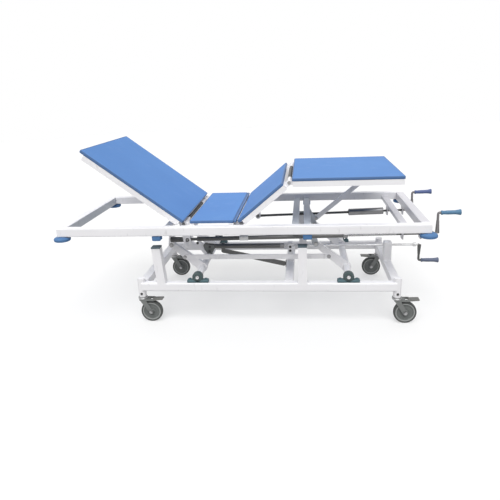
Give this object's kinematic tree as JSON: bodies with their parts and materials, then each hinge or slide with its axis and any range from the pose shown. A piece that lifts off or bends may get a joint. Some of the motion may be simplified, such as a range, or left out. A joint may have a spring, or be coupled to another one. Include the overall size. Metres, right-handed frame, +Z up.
{
  "type": "hospital bed",
  "caption": "Crank-operated hospital bed with a raising backrest, a knee break, a level foot section and a linkage height lift on braked castors.",
  "frame": {"origin": "on the floor under the middle of the object's box", "axes": "+X from the head end to the foot end, +Y from the near side to the far side, +Z up"},
  "size_m": [2.3148, 0.955, 1.0371],
  "materials": {
    "frame_paint": "white powder coat, satin",
    "panel": "blue sheet, satin",
    "bumper": "blue rubber",
    "grip": "blue moulded plastic",
    "cast": "dark teal paint on cast iron",
    "drive_steel": "blackened steel",
    "crank_steel": "bright plated steel rod",
    "castor_steel": "zinc plated steel",
    "wheel": "dark grey rubber"
  },
  "bodies": {
    "base": {"near_base_rail": "frame_paint", "far_base_rail": "frame_paint", "head_base_bar": "frame_paint", "mid_base_bar": "frame_paint", "foot_base_bar": "frame_paint", "push_tube_stay": "drive_steel", "near_head_pillow_block": "cast", "far_head_pillow_block": "cast", "near_foot_pillow_block": "cast", "far_foot_pillow_block": "cast"},
    "head_lift": {"head_lift_shaft": "frame_paint"},
    "foot_lift": {"foot_lift_shaft": "frame_paint"},
    "tie": {"tie_bar": "frame_paint"},
    "lift_push": {"lift_push_tube": "drive_steel"},
    "lift_crank": {"lift_crank": "crank_steel"},
    "lift_grip": {"lift_grip": "grip"},
    "upper_frame": {"near_rail": "frame_paint", "far_rail": "frame_paint", "head_rail": "frame_paint", "foot_rail": "frame_paint", "head_lift_crossbar": "frame_paint", "mid_crossbar": "frame_paint", "foot_lift_crossbar": "frame_paint", "crank_crossbar": "frame_paint", "seat_head_bar": "frame_paint", "seat_foot_bar": "frame_paint", "seat_panel": "panel", "near_head_stop": "bumper", "far_head_stop": "bumper", "near_foot_stop": "bumper", "far_foot_stop": "bumper"},
    "backrest": {"backrest_frame": "frame_paint", "backrest_panel": "panel"},
    "back_push": {"back_push_tube": "drive_steel"},
    "back_crank": {"back_crank": "crank_steel"},
    "back_grip": {"back_grip": "grip"},
    "thigh": {"thigh_frame": "frame_paint", "thigh_panel": "panel"},
    "foot_section": {"foot_frame": "frame_paint", "foot_panel": "panel"},
    "strut": {"foot_strut": "frame_paint"},
    "knee_push": {"knee_push_tube": "drive_steel"},
    "knee_crank": {"knee_crank": "crank_steel"},
    "knee_grip": {"knee_grip": "grip"},
    "near_head_castor": {"near_head_castor_fork": "castor_steel"},
    "near_head_wheel": {"near_head_wheel": "wheel"},
    "near_head_pedal": {"near_head_brake_pedal": "castor_steel"},
    "far_head_castor": {"far_head_castor_fork": "castor_steel"},
    "far_head_wheel": {"far_head_wheel": "wheel"},
    "far_head_pedal": {"far_head_brake_pedal": "castor_steel"},
    "near_foot_castor": {"near_foot_castor_fork": "castor_steel"},
    "near_foot_wheel": {"near_foot_wheel": "wheel"},
    "near_foot_pedal": {"near_foot_brake_pedal": "castor_steel"},
    "far_foot_castor": {"far_foot_castor_fork": "castor_steel"},
    "far_foot_wheel": {"far_foot_wheel": "wheel"},
    "far_foot_pedal": {"far_foot_brake_pedal": "castor_steel"},
    "near_head_bumper": {"near_head_bumper": "bumper"},
    "far_head_bumper": {"far_head_bumper": "bumper"},
    "near_foot_bumper": {"near_foot_bumper": "bumper"},
    "far_foot_bumper": {"far_foot_bumper": "bumper"}
  },
  "joints": [
    {"name": "hi_lo", "type": "hinge", "parent": "base", "child": "head_lift", "pos_m": [-0.33493, 0, 0.2836], "axis": [0, 1, 0], "range_deg": [-12.5, 39]},
    {"name": "upper_frame_level", "type": "hinge", "parent": "head_lift", "child": "upper_frame", "pos_m": [-0.51756, 0, 0.43149], "axis": [0, 1, 0], "range_deg": [-39.2, 12.7]},
    {"name": "foot_lift_turn", "type": "hinge", "parent": "base", "child": "foot_lift", "pos_m": [0.53807, 0, 0.2836], "axis": [0, 1, 0], "range_deg": [-12.7, 39.2]},
    {"name": "tie_level", "type": "hinge", "parent": "head_lift", "child": "tie", "pos_m": [-0.43993, -0.2373, 0.3541], "axis": [0, 1, 0], "range_deg": [-39.2, 12.7]},
    {"name": "lift_push_slide", "type": "slide", "parent": "base", "child": "lift_push", "axis": [1, 0, 0], "range_m": [-0.01506, 0.04614]},
    {"name": "lift_crank_turn", "type": "hinge", "parent": "base", "child": "lift_crank", "pos_m": [0.81007, 0, 0.3473], "axis": [1, 0, 0], "range_deg": [-528.79, 1647.7]},
    {"name": "lift_grip_spin", "type": "hinge", "parent": "lift_crank", "child": "lift_grip", "pos_m": [1.00607, 0, 0.2443], "axis": [1, 0, 0], "continuous": true},
    {"name": "backrest_tilt", "type": "hinge", "parent": "upper_frame", "child": "backrest", "pos_m": [-0.40393, 0, 0.5903], "axis": [0, 1, 0], "range_deg": [-37, 33]},
    {"name": "back_push_slide", "type": "slide", "parent": "upper_frame", "child": "back_push", "axis": [0.9999, 0, 0.0158], "range_m": [-0.07153, 0.08015]},
    {"name": "back_crank_turn", "type": "hinge", "parent": "upper_frame", "child": "back_crank", "pos_m": [0.84307, -0.28, 0.5], "axis": [0.9999, 0, 0.0158], "range_deg": [-2561.71, 2872.1]},
    {"name": "back_grip_spin", "type": "hinge", "parent": "back_crank", "child": "back_grip", "pos_m": [1.03418, -0.28, 0.62103], "axis": [0.9999, 0, 0.0158], "continuous": true},
    {"name": "knee_bend", "type": "hinge", "parent": "upper_frame", "child": "thigh", "pos_m": [-0.06993, 0, 0.5903], "axis": [0, -1, 0], "range_deg": [-39.5, 5]},
    {"name": "foot_level", "type": "hinge", "parent": "thigh", "child": "foot_section", "pos_m": [0.20786, 0, 0.81929], "axis": [0, -1, 0], "range_deg": [-5.2, 39.7]},
    {"name": "strut_swing", "type": "hinge", "parent": "upper_frame", "child": "strut", "pos_m": [0.36307, 0, 0.528], "axis": [0, -1, 0], "range_deg": [-39.7, 5.2]},
    {"name": "knee_push_slide", "type": "slide", "parent": "upper_frame", "child": "knee_push", "axis": [0.9997, 0, 0.0259], "range_m": [-0.08141, 0.01065]},
    {"name": "knee_crank_turn", "type": "hinge", "parent": "upper_frame", "child": "knee_crank", "pos_m": [0.84307, 0.28, 0.5], "axis": [0.9997, 0, 0.0259], "range_deg": [-2917.18, 370.14]},
    {"name": "knee_grip_spin", "type": "hinge", "parent": "knee_crank", "child": "knee_grip", "pos_m": [1.00196, 0.28, 0.62216], "axis": [0.9997, 0, 0.0259], "continuous": true},
    {"name": "near_head_swivel", "type": "hinge", "parent": "base", "child": "near_head_castor", "pos_m": [-0.67943, -0.39, 0.16], "axis": [0, 0, 1], "continuous": true},
    {"name": "near_head_roll", "type": "hinge", "parent": "near_head_castor", "child": "near_head_wheel", "pos_m": [-0.63143, -0.39, 0.065], "axis": [0, 1, 0], "continuous": true},
    {"name": "near_head_brake", "type": "hinge", "parent": "near_head_castor", "child": "near_head_pedal", "pos_m": [-0.61343, -0.39, 0.1425], "axis": [0, 1, 0], "range_deg": [-4, 14]},
    {"name": "far_head_swivel", "type": "hinge", "parent": "base", "child": "far_head_castor", "pos_m": [-0.67943, 0.39, 0.16], "axis": [0, 0, 1], "continuous": true},
    {"name": "far_head_roll", "type": "hinge", "parent": "far_head_castor", "child": "far_head_wheel", "pos_m": [-0.63143, 0.39, 0.065], "axis": [0, 1, 0], "continuous": true},
    {"name": "far_head_brake", "type": "hinge", "parent": "far_head_castor", "child": "far_head_pedal", "pos_m": [-0.61343, 0.39, 0.1425], "axis": [0, 1, 0], "range_deg": [-4, 14]},
    {"name": "near_foot_swivel", "type": "hinge", "parent": "base", "child": "near_foot_castor", "pos_m": [0.81257, -0.39, 0.16], "axis": [0, 0, 1], "continuous": true},
    {"name": "near_foot_roll", "type": "hinge", "parent": "near_foot_castor", "child": "near_foot_wheel", "pos_m": [0.86057, -0.39, 0.065], "axis": [0, 1, 0], "continuous": true},
    {"name": "near_foot_brake", "type": "hinge", "parent": "near_foot_castor", "child": "near_foot_pedal", "pos_m": [0.87857, -0.39, 0.1425], "axis": [0, 1, 0], "range_deg": [-4, 14]},
    {"name": "far_foot_swivel", "type": "hinge", "parent": "base", "child": "far_foot_castor", "pos_m": [0.81257, 0.39, 0.16], "axis": [0, 0, 1], "continuous": true},
    {"name": "far_foot_roll", "type": "hinge", "parent": "far_foot_castor", "child": "far_foot_wheel", "pos_m": [0.76457, 0.39, 0.065], "axis": [0, 1, 0], "continuous": true},
    {"name": "far_foot_brake", "type": "hinge", "parent": "far_foot_castor", "child": "far_foot_pedal", "pos_m": [0.74657, 0.39, 0.1425], "axis": [0, -1, 0], "range_deg": [-4, 14]},
    {"name": "near_head_bumper_spin", "type": "hinge", "parent": "upper_frame", "child": "near_head_bumper", "pos_m": [-1.10993, -0.43, 0.55], "axis": [0, 0, 1], "continuous": true},
    {"name": "far_head_bumper_spin", "type": "hinge", "parent": "upper_frame", "child": "far_head_bumper", "pos_m": [-1.10993, 0.43, 0.55], "axis": [0, 0, 1], "continuous": true},
    {"name": "near_foot_bumper_spin", "type": "hinge", "parent": "upper_frame", "child": "near_foot_bumper", "pos_m": [0.95507, -0.43, 0.55], "axis": [0, 0, 1], "continuous": true},
    {"name": "far_foot_bumper_spin", "type": "hinge", "parent": "upper_frame", "child": "far_foot_bumper", "pos_m": [0.95507, 0.43, 0.55], "axis": [0, 0, 1], "continuous": true}
  ],
  "couplings": [
    {"joint": "upper_frame_level", "follows": "hi_lo", "ratio": -1},
    {"joint": "foot_lift_turn", "follows": "hi_lo", "ratio": 1},
    {"joint": "tie_level", "follows": "hi_lo", "ratio": -1},
    {"joint": "lift_push_slide", "follows": "hi_lo", "m_per_rad": 0.0672},
    {"joint": "lift_crank_turn", "follows": "hi_lo", "ratio": 42.223},
    {"joint": "back_push_slide", "follows": "backrest_tilt", "m_per_rad": -0.1235},
    {"joint": "back_crank_turn", "follows": "backrest_tilt", "ratio": -77.597},
    {"joint": "foot_level", "follows": "knee_bend", "ratio": -1},
    {"joint": "strut_swing", "follows": "knee_bend", "ratio": 1},
    {"joint": "knee_push_slide", "follows": "knee_bend", "m_per_rad": 0.1175},
    {"joint": "knee_crank_turn", "follows": "knee_bend", "ratio": 73.827}
  ]
}
